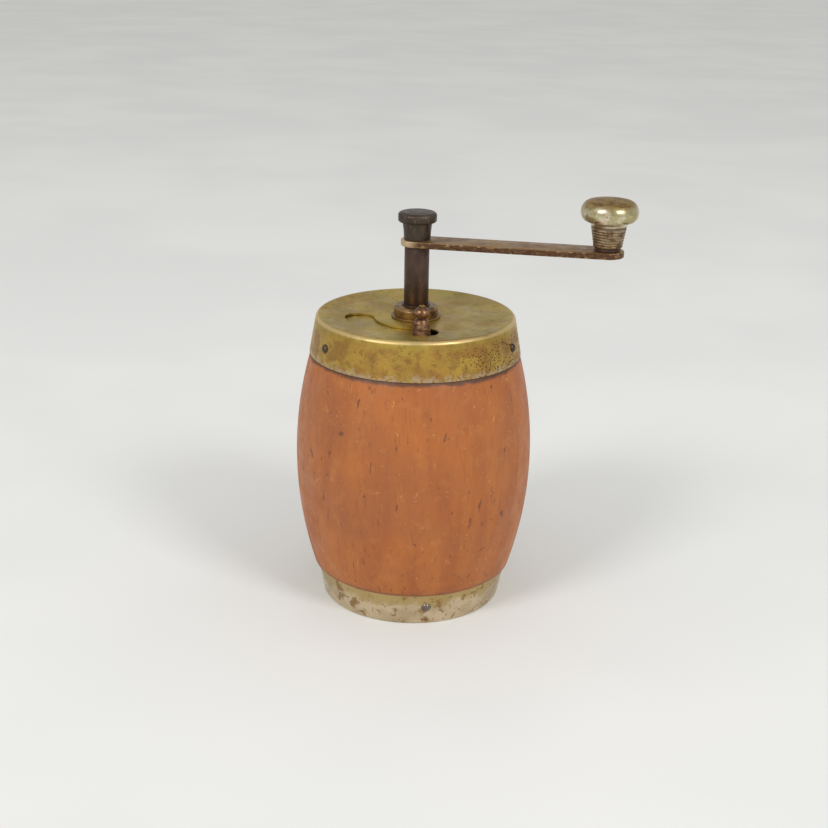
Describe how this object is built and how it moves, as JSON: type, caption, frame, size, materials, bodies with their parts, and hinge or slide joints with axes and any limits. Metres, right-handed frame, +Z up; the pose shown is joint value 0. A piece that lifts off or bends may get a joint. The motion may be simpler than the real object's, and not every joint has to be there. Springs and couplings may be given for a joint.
{
  "type": "coffee grinder mill",
  "caption": "Barrel-shaped wooden hand coffee mill with a metal cap and base, a curved fill slot with a shutter, a crank with a turned knob, conical burrs and a drawer.",
  "frame": {"origin": "centre of the base's lower face, on the barrel's and the spindle's axis", "axes": "+Z up along the spindle, +Y towards the drawer, -Y towards the fill slot's shutter knob, the crank at rest towards +X turned 10.5 degrees to -Y"},
  "size_m": [0.1374, 0.1066, 0.1767],
  "materials": {
    "barrel_wood": "turned hardwood, stained orange-brown and varnished, worn and flecked",
    "drawer_wood": "planed plain wood, unvarnished",
    "cap_metal": "drawn sheet, brass plated, tarnished olive with pitting and wear at the rim",
    "base_metal": "drawn sheet, nickel plated, stained yellow-brown",
    "collar_metal": "turned metal with a coppery brown patina",
    "shutter_metal": "sheet, tarnished",
    "shutter_knob_metal": "turned metal with a coppery brown patina",
    "spindle_iron": "turned steel with a dark brown patina",
    "nut_iron": "knurled steel, darkened, knurl worn shallow",
    "arm_metal": "flat bar, plating worn to a brassy brown with rusty edges",
    "knob_nickel": "turned and nickel plated, worn, grooves grimed",
    "nail_steel": "round-headed nail, darkened",
    "base_nail_steel": "round-headed nail, bright on the dome, darkened round it",
    "inner_steel": "plain steel",
    "burr_iron": "cast iron, ground on the land",
    "rivet_brass": "brass, rubbed bright",
    "drawer_knob_brass": "turned brass, tarnished"
  },
  "bodies": {
    "barrel": {"barrel_body": "barrel_wood", "burr_block": "barrel_wood", "top_cap": "cap_metal", "cap_nails": "nail_steel", "base_cup": "base_metal", "base_nails": "base_nail_steel", "bearing_collar": "collar_metal", "collar_washer": "collar_metal", "shutter_washer": "inner_steel", "collar_nut": "inner_steel", "thrust_washer": "spindle_iron", "outer_burr": "burr_iron", "burr_screws": "inner_steel", "burr_yoke": "inner_steel", "yoke_screws": "inner_steel", "lock_nut": "inner_steel"},
    "thrust": {"thrust_ball": "inner_steel"},
    "adjuster": {"adjusting_screw": "inner_steel"},
    "crank": {"spindle": "spindle_iron", "inner_burr": "burr_iron", "burr_pin": "inner_steel", "crank_arm": "arm_metal", "thumb_nut": "nut_iron", "knob_pin": "arm_metal", "knob_washer": "spindle_iron"},
    "grip": {"crank_knob": "knob_nickel", "knob_bush": "rivet_brass"},
    "shutter": {"shutter_plate": "shutter_metal", "shutter_knob": "shutter_knob_metal", "shutter_rivet": "rivet_brass"},
    "drawer": {"drawer_front": "barrel_wood", "drawer_side_left": "drawer_wood", "drawer_side_right": "drawer_wood", "drawer_back": "drawer_wood", "drawer_bottom": "drawer_wood", "drawer_knob": "drawer_knob_brass", "drawer_knob_screw": "inner_steel", "drawer_nails": "inner_steel"}
  },
  "joints": [
    {"name": "grind_lift", "type": "slide", "parent": "barrel", "child": "thrust", "axis": [0, 0, 1], "range_m": [0, 0.0008]},
    {"name": "adjuster_turn", "type": "hinge", "parent": "thrust", "child": "adjuster", "pos_m": [0, 0, 0.05], "axis": [0, 0, 1], "range_deg": [0, 290]},
    {"name": "crank_turn", "type": "hinge", "parent": "thrust", "child": "crank", "pos_m": [0, 0, 0.129], "axis": [0, 0, -1], "continuous": true},
    {"name": "grip_spin", "type": "hinge", "parent": "crank", "child": "grip", "pos_m": [0.07591, -0.01407, 0.165], "axis": [0, 0, 1], "continuous": true},
    {"name": "shutter_turn", "type": "hinge", "parent": "barrel", "child": "shutter", "pos_m": [0, 0, 0.1218], "axis": [0, 0, -1], "range_deg": [-6, 93]},
    {"name": "drawer_slide", "type": "slide", "parent": "barrel", "child": "drawer", "axis": [0, 1, 0], "range_m": [0, 0.05]}
  ],
  "couplings": [
    {"joint": "adjuster_turn", "follows": "grind_lift", "rad_per_m": 6283.2}
  ]
}
